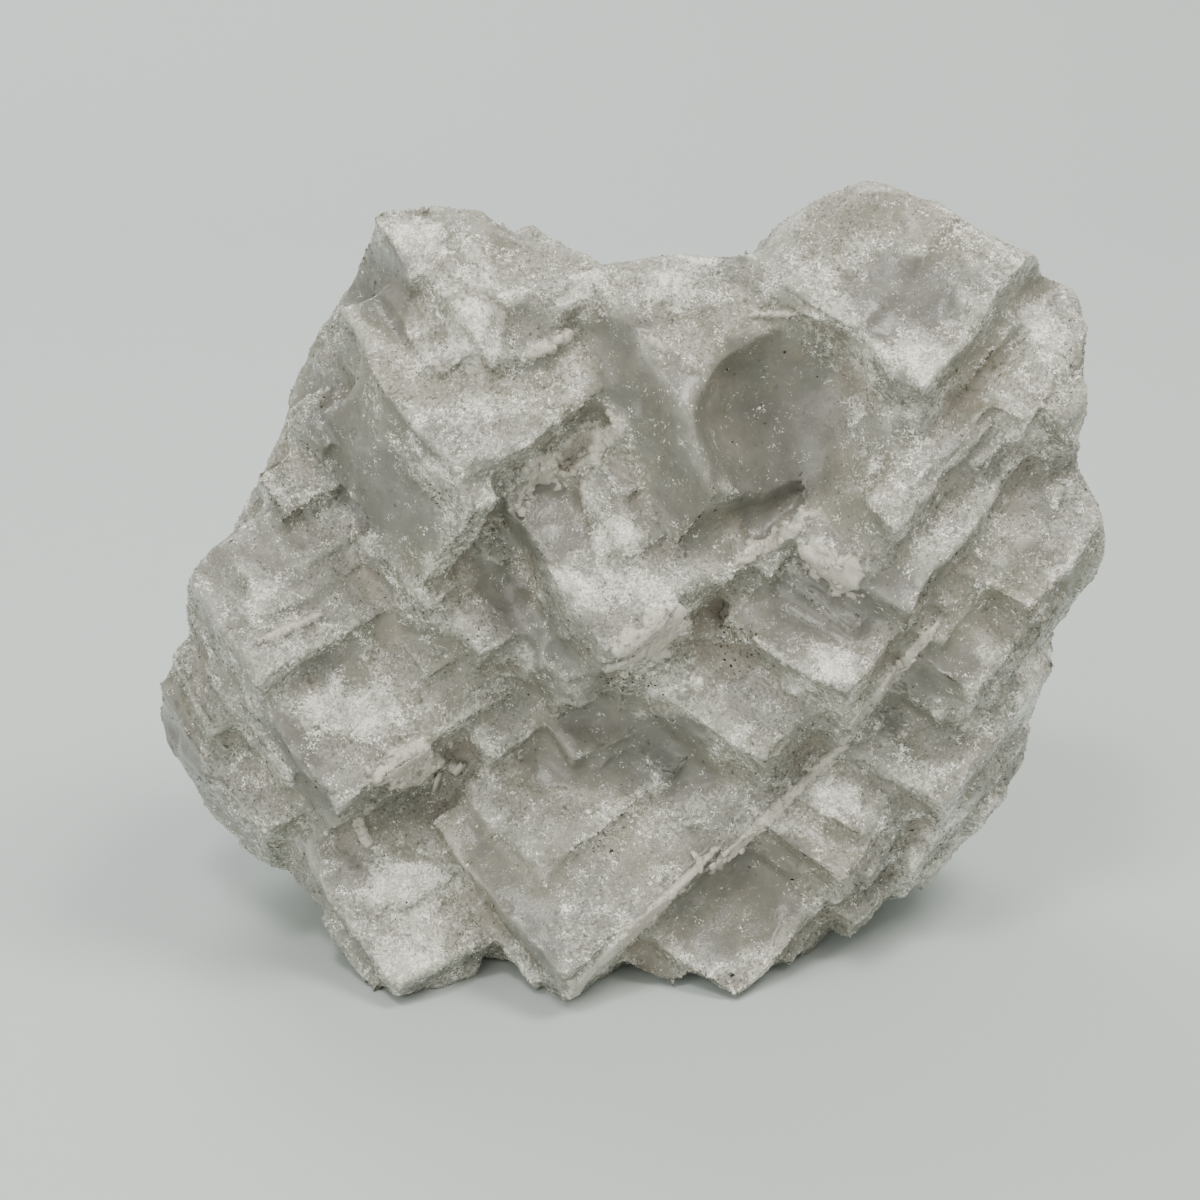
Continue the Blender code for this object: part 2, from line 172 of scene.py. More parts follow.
# Colours, linear, and refractive indices.
DEEP_GREY = (0.155, 0.153, 0.127)
PALE_GREY = (0.225, 0.221, 0.188)
OLIVE = (0.212, 0.200, 0.148)
VEIL = (0.37, 0.365, 0.325)
SUGAR = (0.32, 0.315, 0.275)
FROST = (0.58, 0.57, 0.50)
# edge colour: partly frost, partly a painted glow of light shining through thin edges
FROSTY_EDGE_GLOW = (0.66, 0.65, 0.57)
CLEAR = (0.135, 0.132, 0.119)
# painted glint: white spots in the colour that stand for light glinting off tiny crystal faces
PAINTED_GLINT = (0.92, 0.91, 0.82)
STAIN = (0.300, 0.262, 0.210)
CREAM = (0.66, 0.62, 0.54)
# painted shadow between the sugary grains on the cream plates
CREAM_GRAIN_SHADOW = (0.43, 0.39, 0.32)
BRIGHT_GRAIN = (0.78, 0.77, 0.70)
FLAKE_DARK = (0.58, 0.535, 0.46)
FLAKE_LIGHT = (0.70, 0.665, 0.60)
FLAKE_STAIN = (0.50, 0.45, 0.37)
SPECK_BLACK = (0.012, 0.010, 0.008)
SPECK_BROWN = (0.06, 0.045, 0.035)
FLOOR_COLOUR = (0.55, 0.60, 0.59)
FLUORITE_IOR = 1.434
QUARTZ_IOR = 1.54

# The studio, in metres and watts. Each light has a place, a side, a power and a colour.
LIGHTS = {
    "key": ((0.25, -0.08, 0.52), 0.20, 2.1, (1.0, 0.97, 0.91)),
    "sparkle": ((-0.12, -0.25, 0.60), 0.12, 1.5, (1.0, 0.99, 0.94)),
    "fill": ((-0.45, -0.55, 0.30), 0.5, 2.2, (1.0, 1.0, 0.95)),
    "back": ((-0.20, 0.40, 0.45), 0.3, 2.0, (1.0, 1.0, 1.0)),
}
LIT_PLACE = (0, 0, 0.035)
SKY_COLOUR = (0.87, 0.86, 0.81)
SKY_STRENGTH = 0.72
FLOOR_HALF_WIDTH = 1.5
FLOOR_FRONT = -0.6
FLOOR_BACK = 0.25        # where the floor starts to curve up
FLOOR_CURVE = 0.2        # the curve's radius
FIRST_TURN = 0.15        # radians along the curve
FLOOR_TOP = 1.2

# Places on the showing side, from the middle of the view: across, up, half width, half height (mm), turn.
GLASSY_PATCHES = (
    (14.8, 15.2, 6.2, 9.3, 0),   # smooth hollow
    (5.7, 15.2, 4.2, 11.5, 28),  # inner wall beside the saddle
)
BARE_PATCHES = GLASSY_PATCHES + (
    (-20, 11.3, 3.2, 9.5, 34),   # side of the dome
    (-18.7, 27, 2.8, 4.5, 25),   # side of the crown
    (19.6, -0.5, 7, 3.2, 10),    # dark concave face
    (-4.8, 6.5, 3, 3.5, 30),     # upper left of the heart
    (11.7, -26, 7.5, 4.5, 30),   # right foot
    (0.9, -13.5, 9, 4, 0),       # middle of the keel
    (26.5, 26.5, 5, 4, -20),     # shoulder
    (-38.5, -10, 2.5, 10, 20),   # left rim
    (30, -5.7, 3.2, 2.2, 30),    # smooth patch on the stair
    (-26, -14, 1.6, 6, 28),      # side of the left block
    (-8.3, -25, 1.7, 8, 32),     # side of the keel
    (-7, -1, 1.7, 6, 40),        # side of the heart
)
MELTED_PATCHES = (
    (24.0, 13.5, 4.5, 8.5, -10),  # right side of the hollow, which runs out into the shoulder
    (-2.2, 13.0, 3.5, 2.6, 35),   # under the dome
    (10.0, -1.2, 2.8, 3.2, 0),    # beside the heart
)
CREAM_PATCHES = (
    (-3.0, 12.2, 5.0, 1.5, 35),  # band under the dome
    (-16.8, -14.4, 3.6, 1.6, 12),  # flake at the foot of the left block
    (4.5, -3.2, 3.6, 1.7, 40),   # ledge under the heart
    (15.2, 5.2, 3.6, 0.9, 34),   # two flakes under the hollow
    (20.2, 2.6, 2.7, 1.7, -25),
    (-5.2, 21.7, 1.2, 0.7, 20),  # small flakes on the dome
    (-3, 23, 1.3, 0.6, 30),
    (-20.4, -20.6, 1.6, 0.5, -60),  # below the left block
    (15.4, 24.8, 2.0, 0.3, 0),   # bright rim of the hollow
    (4.8, 22.4, 1.3, 0.3, -35),
)
RIDGES = (
    (3.8, -27.9, 9.0, 0.55, 45),  # long ridge beside the keel
    (15.7, -17.8, 9, 0.5, 44),
    (26, -6, 7, 0.45, 50),
    (-27.0, -2.4, 3.2, 0.35, 24),  # line under the shelf
)
FROST_PATCHES = (
    (-7, 28.7, 7, 2.4, -10),     # top of the dome
    (-11.7, 13.9, 3.4, 3.6, 30),
    (-11.5, 23.5, 2, 3, 0),
    (-16, 31.7, 3, 1.2, 10),     # crown
    (-29.6, 7.8, 3.4, 1.2, 40),  # shelf
    (-28.7, 0.5, 3, 3, 0),
    (-18.3, -9.6, 6, 2.6, -10),  # left block
    (0.2, -28.3, 3.6, 3.2, 0),   # nose of the keel
    (5, -10, 2, 5, -40),
    (-8.7, -14.8, 1.4, 1.2, 40),  # small white places on the keel
    (4.2, -15.4, 1.3, 1.8, -30),
    (2.4, 6.3, 2.6, 1.2, 20),    # heart
    (0.5, 0.8, 4.5, 1.8, -15),
    (37.8, 20, 4, 6, 10),        # right end of the shoulder
    (28.7, 20.5, 4, 2, -40),
    (42, 7.5, 3.2, 5.5, -20),    # right knob
    (21, -5.7, 4.2, 2, 15),      # ridge beside the dark face
    (29.6, 6.5, 6, 2.4, 30),     # slope above the stairs
    (35, -8, 4, 5.5, -40),       # stairs
    (29, -22, 4, 2, 45),
    (20.5, -17, 3, 3, 0),
    (8, 27.5, 6, 2.2, -5),       # saddle
    (22.3, 18.0, 1.2, 6.0, -4),  # right of the hollow
    (26, 12, 4, 5, -35),
    (-29.6, -15, 4, 2.2, -20),   # left lobe
    (-28, -22.3, 3.5, 1.6, 0),
    (-17.4, -26, 5.5, 3, 15),    # left foot
    (-18, -31.5, 4.5, 1.6, 20),
)
SPECK_PATCHES = (
    (-14.8, 9.8, 0.8, 1.2, 20),
    (-24.3, 17, 1.2, 0.4, -20),
    (-10.5, -3, 1.8, 1.4, 0),
    (0.4, -22, 1.2, 1.8, 0),
    (-17, -26.5, 1.0, 0.8, 0),
    (12, -4.3, 2.0, 2.5, 30),
    (10, -33.5, 4.0, 1.5, 0),
    (3.5, -7.5, 4.0, 0.6, -10),
)
PATCH_RIM = (0.8, 1.12)  # a patch fades out between these shares of its size
FACES_VIEWER = (-0.1, 0.2)  # and where the surface turns away from the viewer


# Directions.


def unit(vector):
    return vector / (np.linalg.norm(vector, axis=-1, keepdims=True) + 1e-12)


def view_axes():
    """Across, up and towards the viewer, as the specimen is seen from its showing side."""
    rise = math.radians(SHOWING_RISE)
    across = np.array((1.0, 0.0, 0.0))
    up = np.array((0.0, math.sin(rise), math.cos(rise)))
    towards = np.array((0.0, -math.cos(rise), math.sin(rise)))
    return across, up, towards


def lattice(domain):
    """Left edge, right edge and face normal of the cubes in one domain."""
    rise = math.radians(FACE_RISE)
    turn, yaw = (math.radians(angle) for angle in domain)
    normal = np.array((0.0, -math.cos(rise), math.sin(rise)))
    uphill = np.array((0.0, math.sin(rise), math.cos(rise)))
    level = np.array((1.0, 0.0, 0.0))
    right = level * math.cos(turn) + uphill * math.sin(turn)
    left = uphill * math.cos(turn) - level * math.sin(turn)
    about = np.array(((math.cos(yaw), math.sin(yaw), 0), (-math.sin(yaw), math.cos(yaw), 0), (0, 0, 1)))
    return np.array((left, right, normal)) @ about


def domain_of(points):
    """Each point's domain, as its number in DOMAINS."""
    border, height, lean = DOMAIN_BORDER
    left = points[:, 0] + lean * (points[:, 2] - height) < border
    x, z, half_width, half_height = KEEL_PLACE
    keel = np.hypot((points[:, 0] - x) / half_width, (points[:, 2] - z) / half_height) < 1
    return np.where(keel, 1, np.where(left, 0, 2))


def in_domains(vectors, domains):
    """Each vector along the left edge, the right edge and the face normal of its domain."""
    local = np.zeros(vectors.shape)
    for number, domain in enumerate(DOMAINS):
        inside = domains == number
        local[inside] = vectors[inside] @ lattice(domain).T
    return local


# Noise.


def hashed(cell, salt):
    """A number from 0 to 1 for each cell, which is given by three whole numbers."""
    mixed = salt * HASH_SALT
    for axis, prime in enumerate(HASH_PRIMES):
        mixed = mixed ^ (cell[:, axis] * prime)
    mixed = (mixed ^ (mixed >> 13)) * HASH_MIX
    return ((mixed ^ (mixed >> 16)) & HASH_SPAN) / float(HASH_SPAN)


def noise(points, size, salt):
    """Smooth noise from 0 to 1 with features of that size, in mm."""
    place = points / size + NOISE_ORIGIN
    cell = np.floor(place).astype(np.int64)
    part = place - cell
    part = part * part * (3 - 2 * part)
    total = np.zeros(len(points))
    for corner in range(8):
        step = np.array((corner & 1, corner >> 1 & 1, corner >> 2 & 1))
        weight = np.prod(np.where(step, part, 1 - part), axis=1)
        total += weight * hashed(cell + step, salt)
    return total


def layered(points, size, salt, octaves=3):
    """Noise with finer and weaker noise on top, from 0 to 1."""
    total = np.zeros(len(points))
    reach = 0.0
    for octave in range(octaves):
        share = 0.5 ** octave
        total += share * noise(points, size * share, salt + octave)
        reach += share
    return total / reach


def wander(points, size, reach, salt):
    """Slow sideways shifts, up to about that reach, that bend straight edges."""
    shifts = [layered(points, size, salt + 7 * axis, 2) - 0.5 for axis in range(3)]
    return np.stack(shifts, axis=1) * 2 * reach


def swelling(points, size, height, salt):
    """Slow rises and dips, as high as that between their extremes."""
    return (layered(points, size, salt) - 0.5) * height


def ramp(values, low, high):
    """0 below the low limit, 1 above the high one, and smooth between them."""
    part = np.clip((values - low) / (high - low), 0, 1)
    return part * part * (3 - 2 * part)


# Meshes, read and made.


def points_of(mesh):
    """Points in mm."""
    flat = np.empty(len(mesh.vertices) * 3, np.float32)
    mesh.vertices.foreach_get("co", flat)
    return flat.reshape(-1, 3).astype(np.float64) / MM


def set_points(mesh, points):
    mesh.vertices.foreach_set("co", (points * MM).astype(np.float32).ravel())
    mesh.update()


def normals_of(mesh):
    flat = np.empty(len(mesh.vertices) * 3, np.float32)
    mesh.vertex_normals.foreach_get("vector", flat)
    return unit(flat.reshape(-1, 3).astype(np.float64))


def edges_of(mesh):
    flat = np.empty(len(mesh.edges) * 2, np.int32)
    mesh.edges.foreach_get("vertices", flat)
    return flat.reshape(-1, 2)


def triangles_of(mesh):
    mesh.calc_loop_triangles()
    flat = np.empty(len(mesh.loop_triangles) * 3, np.int32)
    mesh.loop_triangles.foreach_get("vertices", flat)
    return flat.reshape(-1, 3)


def value_of(mesh, name):
    values = np.empty(len(mesh.vertices), np.float32)
    mesh.attributes[name].data.foreach_get("value", values)
    return values.astype(np.float64)


def add_attribute(mesh, name, values):
    attribute = mesh.attributes.new(name, "FLOAT", "POINT")
    attribute.data.foreach_set("value", values.astype(np.float32))


def joined_mesh(name, points, faces, attributes):
    """A mesh whose faces all have the same number of corners, with an attribute for each name."""
    mesh = bpy.data.meshes.new(name)
    mesh.vertices.add(len(points))
    mesh.loops.add(faces.size)
    mesh.polygons.add(len(faces))
    mesh.vertices.foreach_set("co", (points * MM).astype(np.float32).ravel())
    mesh.loops.foreach_set("vertex_index", faces.astype(np.int32).ravel())
    mesh.polygons.foreach_set("loop_start", np.arange(0, faces.size, faces.shape[1], dtype=np.int32))
    mesh.update(calc_edges=True)
    for attribute, values in attributes.items():
        add_attribute(mesh, attribute, values)
    return mesh


def new_object(name, data):
    obj = bpy.data.objects.new(name, data)
    bpy.context.scene.collection.objects.link(obj)
    return obj


def apply_modifier(obj, kind, **settings):
    modifier = obj.modifiers.new(kind.lower(), kind)
    for name, value in settings.items():
        setattr(modifier, name, value)
    graph = bpy.context.evaluated_depsgraph_get()
    made = bpy.data.meshes.new_from_object(obj.evaluated_get(graph))
    obj.modifiers.clear()
    obj.data = made


def blurred(values, edges, rounds):
    """Values averaged with their neighbours' that many times."""
    count = len(values)
    degree = np.bincount(edges.ravel(), minlength=count).astype(np.float64) + 1
    columns = values.reshape(count, -1).astype(np.float64)
    for _ in range(rounds):
        summed = columns.copy()
        for column in range(columns.shape[1]):
            summed[:, column] += np.bincount(edges[:, 0], columns[edges[:, 1], column], count)
            summed[:, column] += np.bincount(edges[:, 1], columns[edges[:, 0], column], count)
        columns = summed / degree[:, None]
    return columns.reshape(values.shape)


def standing_out(points, other, normals):
    """How far each point stands out from the other surface, along its normal."""
    return np.sum((points - other) * normals, axis=1)


def without_loose_voxels(mesh):
    """The largest connected part of the remeshed solid."""
    edges = edges_of(mesh)
    label = np.arange(len(mesh.vertices))
    while True:
        least = label[edges].min(axis=1)
        lower = label.copy()
        np.minimum.at(lower, edges[:, 0], least)
        np.minimum.at(lower, edges[:, 1], least)
        lower = lower[lower]
        if (lower == label).all():
            break
        label = lower
    kept = label == np.bincount(label).argmax()
    quads = np.empty(len(mesh.loops), np.int32)
    mesh.loops.foreach_get("vertex_index", quads)
    quads = quads.reshape(-1, 4)
    quads = quads[kept[quads].all(axis=1)]
    return joined_mesh("body", points_of(mesh)[kept], (np.cumsum(kept) - 1)[quads], {})


# Places on the body where its surface differs.


def patch_mask(points, normals, patches, middle, ragged, fray=3.0):
    """How far each point lies inside any of the patches, which are drawn as seen from the showing side.

    Their outlines are ragged by that share of their size, in waves as long as fray."""
    across, up, towards = view_axes()
    nearer = VIEW_DISTANCE / (VIEW_DISTANCE - (points - middle) @ towards)
    side = (points - middle) @ across * nearer
    high = (points - middle) @ up * nearer
    mask = np.zeros(len(points))
    frayed = (layered(points, fray, FRAY_SALT) - 0.5) * ragged
    for x, y, wide, tall, turn in patches:
        angle = math.radians(turn)
        u = (side - x) * math.cos(angle) + (high - y) * math.sin(angle)
        v = (high - y) * math.cos(angle) - (side - x) * math.sin(angle)
        mask = np.maximum(mask, 1 - ramp(np.hypot(u / wide, v / tall) + frayed, *PATCH_RIM))
    return mask * ramp(normals @ towards, *FACES_VIEWER)


def crust_of(points, normals, middle):
    """Where the druzy crust lies: 1 on the crust, 0 on bare smooth crystal."""
    upward = np.max([normals @ lattice(domain)[2] for domain in (LEFT_DOMAIN, RIGHT_DOMAIN)], axis=0)
    patchy = layered(points, 6.0, CRUST_SALT, 5)
    crust = ramp(patchy + 0.16 * ramp(upward, 0.3, 0.9), 0.53, 0.59)
    bare = patch_mask(points, normals, BARE_PATCHES, middle, ragged=1.1)
    return crust * (1 - bare)


def cream_of(points, normals, middle):
    """Raised cream places: ragged plates, and thin ridges with cleaner sides."""
    plates = patch_mask(points, normals, CREAM_PATCHES, middle, ragged=2.0, fray=1.4)
    return np.maximum(plates, patch_mask(points, normals, RIDGES, middle, ragged=0.9, fray=2.0))


def frost_of(points, normals, by_edge, middle):
    """White frosting: streaks along the cube edges, a halo beside every edge, and a few whole places."""
    local = in_domains(points, domain_of(points))
    streaks = layered(local * (0.6, 1.0, 1.0), 5.0, STREAK_SALT, 4)
    across = layered(local * (1.0, 0.5, 1.0), 2.4, BAND_SALT, 3)
    places = patch_mask(points, normals, FROST_PATCHES, middle, ragged=1.6, fray=2.4)
    bare = patch_mask(points, normals, BARE_PATCHES, middle, ragged=0.9)
    banded = ramp(0.6 * streaks + 0.4 * across, 0.44, 0.62)
    frost = banded * (0.50 + 0.45 * places) + 0.40 * by_edge + 0.30 * places
    return np.clip(frost * (1 - 0.8 * bare), 0, 1)


def face_steps(bent):
    """Low straight steps on the large faces."""
    blocky = np.floor(bent * ALONG_FACE / STEP_BLOCK) * STEP_BLOCK
    field = layered(blocky + 0.3 * bent * ALONG_FACE, 7.0, STEP_SALT, 2)
    return (np.floor(field * STEP_LEVELS) / STEP_LEVELS - 0.5) * STEP_HEIGHT


def side_plates(bent):
    """Plates stacked along the sides, each a little in or out."""
    stack = bent[:, 2] + 0.8 * noise(bent * ALONG_STACK, 1.0, STACK_SALT)
    plate = np.floor(stack).astype(np.int64)
    ledge = hashed(np.stack((plate, 0 * plate, 0 * plate), axis=1), LEDGE_SALT) - 0.5
    return PLATE_HEIGHT * ledge + PLATE_LIP * ramp(stack - plate, 0.0, 0.25)


def stepped_growth(points, normals):
    """How far the growth steps lift each point, in mm."""
    domains = domain_of(points)
    faced = np.abs(in_domains(normals, domains)[:, 2])
    bent = in_domains(points, domains)
    bent = bent + wander(points, *BEND, BEND_SALT) + wander(points, *JAG, JAG_SALT)
    return ramp(faced, 0.7, 0.92) * face_steps(bent) + (1 - ramp(faced, 0.35, 0.65)) * side_plates(bent)


# The body.


def soften(mesh, middle):
    """Takes the knife edge off the cubes, bends and chips them, and smooths the glassy places."""
    points = points_of(mesh)
    edges = edges_of(mesh)
    slightly = blurred(points, edges, SLIGHT_ROUNDS)
    much = blurred(slightly, edges, MUCH_ROUNDS)
    wholly = blurred(much, edges, WHOLE_ROUNDS)
    normals = normals_of(mesh)
    glass = patch_mask(points, normals, GLASSY_PATCHES, middle, ragged=0.3)
    melted = patch_mask(points, normals, MELTED_PATCHES, middle, ragged=0.6)
    recessed = ramp(standing_out(wholly, points, normals), *RECESS_DEPTH)
    crisp = ramp(layered(points, CRISP_SIZE, CRISP_SALT), 0.30, 0.70)
    filled = np.maximum(0.85 * melted, 0.75 * recessed * (1 - glass))
    points += (slightly - points) * (0.45 + 0.55 * crisp)[:, None]
    points += (much - points) * (0.35 * crisp * (1 - glass) + 0.9 * glass)[:, None]
    points += (wholly - points) * filled[:, None]
    set_points(mesh, points)
    normals = normals_of(mesh)
    proud = ramp(standing_out(points, blurred(points, edges, EDGE_ROUNDS), normals), *EDGE_HEIGHT)
    chips = ramp(layered(points, CHIP_SIZE, CHIP_SALT, 2), 0.48, 0.66) * proud * CHIP_DEPTH
    slow = swelling(points, *SWELL, SWELL_SALT) + swelling(points, *RIPPLE, RIPPLE_SALT)
    above = ramp(points[:, 2] - points[:, 2].min(), *FOOT_HEIGHT)
    shift = wander(points, *SHIFT, SHIFT_SALT) * above[:, None]
    set_points(mesh, points + normals * (slow - chips * (1 - glass))[:, None] + shift)


def lift_surface(mesh, middle):
    """Raises the growth steps, the crust and the cream places, and rounds off the spikes that this makes."""
    points = points_of(mesh)
    normals = normals_of(mesh)
    crust = crust_of(points, normals, middle)
    cream = cream_of(points, normals, middle)
    hollow = patch_mask(points, normals, GLASSY_PATCHES, middle, ragged=0.3)
    rough = (layered(points, CRUST_GRAIN, ROUGH_SALT, 2) - 0.5) * CRUST_ROUGHNESS
    lift = stepped_growth(points, normals) * (0.45 + 0.55 * crust) * (1 - hollow)
    lift += crust * (CRUST_LIFT + rough) + np.sqrt(cream) * CREAM_LIFT
    points += normals * (lift - INSET)[:, None]
    rounded = blurred(points, edges_of(mesh), SPIKE_ROUNDS)
    spiky = ramp(np.linalg.norm(points - rounded, axis=1), *SPIKE_HEIGHT)
    set_points(mesh, points + (rounded - points) * spiky[:, None])


def keep_in_box(mesh, box):
    """Keeps the mesh inside the CAD box, and flat where it rests."""
    low, high = box
    points = np.clip(points_of(mesh), low + BOX_MARGIN, high - BOX_MARGIN)
    points[points[:, 2] < low[2] + BASE_HEIGHT, 2] = low[2]
    set_points(mesh, points)


def add_form_attributes(mesh, middle):
    """The values that the materials and the scattering read."""
    points = points_of(mesh)
    normals = normals_of(mesh)
    edges = edges_of(mesh)
    near = standing_out(points, blurred(points, edges, NEAR_ROUNDS), normals)
    wide = standing_out(points, blurred(points, edges, WIDE_ROUNDS), normals)
    by_edge = blurred(ramp(near, *HALO_HEIGHT), edges, HALO_ROUNDS)
    # edge: where an edge stands out; the colour lightens it, partly frost and partly a painted glow of light
    # through thin edges
    add_attribute(mesh, "edge", blurred(ramp(near, *EDGE_GLOW_HEIGHT), edges, 1))
    add_attribute(mesh, "hollow", ramp(-wide, *HOLLOW_DEPTH))
    add_attribute(mesh, "proud", ramp(wide, *PROUD_HEIGHT))
    add_attribute(mesh, "crust", crust_of(points, normals, middle))
    add_attribute(mesh, "cream", cream_of(points, normals, middle))
    add_attribute(mesh, "speck", patch_mask(points, normals, SPECK_PATCHES, middle, ragged=1.0))
    add_attribute(mesh, "glass", patch_mask(points, normals, BARE_PATCHES, middle, ragged=1.1))
    add_attribute(mesh, "frost", frost_of(points, normals, by_edge, middle))


def make_body(node, box, middle):
    """The specimen's body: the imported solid, finely remeshed, worn, stepped and crusted."""
    body = new_object("fluorite_body", node.data.copy())
    voxel = BODY_VOXEL * MM * 1
    apply_modifier(body, "REMESH", mode="VOXEL", voxel_size=voxel)
    body.data = without_loose_voxels(body.data)
    soften(body.data, middle)
    lift_surface(body.data, middle)
    count = len(triangles_of(body.data))
    limit = BODY_TRIANGLES * WORK
    if count > limit:
        apply_modifier(body, "DECIMATE", decimate_type="COLLAPSE", ratio=limit / count * DECIMATE_MARGIN)
    keep_in_box(body.data, box)
    add_form_attributes(body.data, middle)
    body.data.shade_smooth()
    return body


# What is scattered on the body.


def scattered(mesh, count, weight, rng):
    """Random places on the mesh: points, normals and the corners of the triangle each one is on."""
    points = points_of(mesh)
    triangles = triangles_of(mesh)
    corners = points[triangles]
    cross = np.cross(corners[:, 1] - corners[:, 0], corners[:, 2] - corners[:, 0])
    chance = np.linalg.norm(cross, axis=1) * weight[triangles].mean(axis=1)
    chosen = rng.choice(len(triangles), count, p=chance / chance.sum())
    first, second = rng.random((2, count))
    over = first + second > 1
    first[over], second[over] = 1 - first[over], 1 - second[over]
    places = (corners[chosen, 0] * (1 - first - second)[:, None]
              + corners[chosen, 1] * first[:, None] + corners[chosen, 2] * second[:, None])
    return places, unit(cross[chosen]), triangles[chosen]


def random_sizes(typical, spread, count, rng):
    return typical * np.exp(rng.normal(0, spread, count))


def leaning_axes(normals, lean, rng):
    """Three axes for each normal: the first leans away from it at random, and the others stand across it."""
    count = len(normals)
    first = unit(normals + rng.normal(0, lean, (count, 3)))
    second = unit(np.cross(first, rng.normal(0, 1, (count, 3))))
    return first, second, np.cross(first, second)


def scattered_piece(name, points, sides, box, rng, form=None):
    """Joins the small solids that lie inside the box in one piece. Each has a tone of its own and, where form
    gives the body's mesh and the triangle each one stands on, the form of its place."""
    low, high = box
    inside = np.all((points > low) & (points < high), axis=(1, 2))
    points = points[inside]
    count, corners = points.shape[:2]
    sides = np.array(sides)
    faces = (np.arange(count)[:, None, None] * corners + sides).reshape(-1, sides.shape[1])
    attributes = {"tone": np.repeat(rng.random(count), corners)}
    if form:
        mesh, triangles = form
        for value in FORM:
            attributes[value] = np.repeat(value_of(mesh, value)[triangles].mean(axis=1)[inside], corners)
    return new_object(name, joined_mesh(name, points.reshape(-1, 3), faces, attributes))


def make_grains(body, index, box, rng):
    """Druzy points: small three-sided tips standing on the crust."""
    mesh = body.data
    weight = 0.10 + 0.6 * value_of(mesh, "crust") + 0.5 * value_of(mesh, "frost")
    weight = weight * (1 - 0.7 * value_of(mesh, "glass"))
    count = int(GRAINS_A_PIECE * WORK)
    places, normals, triangles = scattered(mesh, count, weight, rng)
    size = random_sizes(*GRAIN_SIZE, count, rng)
    lean, other, third = leaning_axes(normals, GRAIN_LEAN, rng)
    corners = []
    for turn in range(3):
        angle = turn * math.tau / 3 + rng.uniform(-GRAIN_TURN, GRAIN_TURN, count)
        reach = size * rng.uniform(*GRAIN_REACH, count)
        out = other * np.cos(angle)[:, None] + third * np.sin(angle)[:, None]
        corners.append(places + out * reach[:, None] - normals * (GRAIN_ROOT * size)[:, None])
    tip = places + lean * (size * rng.uniform(*GRAIN_HEIGHT, count))[:, None]
    points = np.stack(corners + [tip], axis=1)
    sides = ((0, 1, 3), (1, 2, 3), (2, 0, 3))
    return scattered_piece(f"druzy_grains_{index}", points, sides, box, rng, (mesh, triangles))


def make_small_cubes(body, box, rng):
    """Small cubes set parallel to the large ones along their edges and steps."""
    mesh = body.data
    weight = 0.08 + value_of(mesh, "edge") + 0.5 * value_of(mesh, "proud")
    count = int(SMALL_CUBES * WORK)
    places, normals, triangles = scattered(mesh, count, weight, rng)
    size = random_sizes(*CUBE_SIZE, count, rng)
    axes = np.array([lattice(domain) for domain in DOMAINS])[domain_of(places)]
    axes = unit(axes + rng.normal(0, CUBE_LEAN, axes.shape))
    signs = np.array([(x, y, z) for x in (-1, 1) for y in (-1, 1) for z in (-1, 1)], float) / 2
    middle = places - normals * (size * rng.uniform(*CUBE_DEPTH, count))[:, None]
    spread = signs[None] * (size[:, None, None] * rng.uniform(*CUBE_STRETCH, (count, 1, 3)))
    points = middle[:, None] + np.einsum("ncj,njk->nck", spread, axes)
    sides = ((0, 1, 3, 2), (4, 6, 7, 5), (0, 4, 5, 1), (2, 3, 7, 6), (0, 2, 6, 4), (1, 5, 7, 3))
    return scattered_piece("small_cubes", points, sides, box, rng, (mesh, triangles))


def make_flakes(body, box, rng):
    """Thin ragged plates overlapping in the cream places, and a few elsewhere."""
    mesh = body.data
    weight = value_of(mesh, "cream") + 0.003 * value_of(mesh, "frost") + 0.0005
    count = int(FLAKES * WORK)
    places, normals, _ = scattered(mesh, count, weight, rng)
    size = random_sizes(*FLAKE_SIZE, count, rng)
    lean, other, third = leaning_axes(normals, FLAKE_LEAN, rng)
    thick = rng.uniform(*FLAKE_THICKNESS, count)
    long = rng.uniform(*FLAKE_STRETCH, count)
    rims = []
    for turn in range(FLAKE_CORNERS):
        angle = turn * math.tau / FLAKE_CORNERS + rng.uniform(-FLAKE_TURN, FLAKE_TURN, count)
        reach = size * rng.uniform(*FLAKE_REACH, count)
        out = other * (np.cos(angle) * long)[:, None] + third * np.sin(angle)[:, None]
        rims.append(places + out * reach[:, None])
    rims = np.stack(rims, axis=1)
    upper = rims + (lean * (thick + rng.uniform(0.0, FLAKE_TILT, count))[:, None])[:, None]
    lower = rims - (lean * FLAKE_ROOT)[:, None]
    points = np.concatenate((upper, lower), axis=1)
    ring = range(FLAKE_CORNERS)
    after = [(i + 1) % FLAKE_CORNERS for i in ring]
    sides = [(i, i + FLAKE_CORNERS, after[i] + FLAKE_CORNERS) for i in ring]
    sides += [(i, after[i] + FLAKE_CORNERS, after[i]) for i in ring]
    sides += [(0, i, i + 1) for i in ring[1:-1]]
    return scattered_piece("cream_flakes", points, sides, box, rng)


def make_specks(body, box, rng):
    """Black specks sitting in the recesses and on a few clusters."""
    mesh = body.data
    weight = value_of(mesh, "speck") * 7 + 0.10 * value_of(mesh, "hollow") ** 2 + 0.004
    count = int(SPECKS * WORK)
    places, normals, _ = scattered(mesh, count, weight, rng)
    size = random_sizes(*SPECK_SIZE, count, rng)
    axes = unit(rng.normal(0, 1, (count, 3, 3)))
    middle = places - normals * (size * SPECK_ROOT)[:, None]
    tips = np.concatenate((axes, -axes), axis=1) * size[:, None, None]
    points = middle[:, None] + tips * rng.uniform(*SPECK_REACH, (count, SPECK_CORNERS, 1))
    sides = ((0, 1, 2), (1, 3, 2), (3, 4, 2), (4, 0, 2), (1, 0, 5), (3, 1, 5), (4, 3, 5), (0, 4, 5))
    return scattered_piece("dark_specks", points, sides, box, rng)


# Materials.


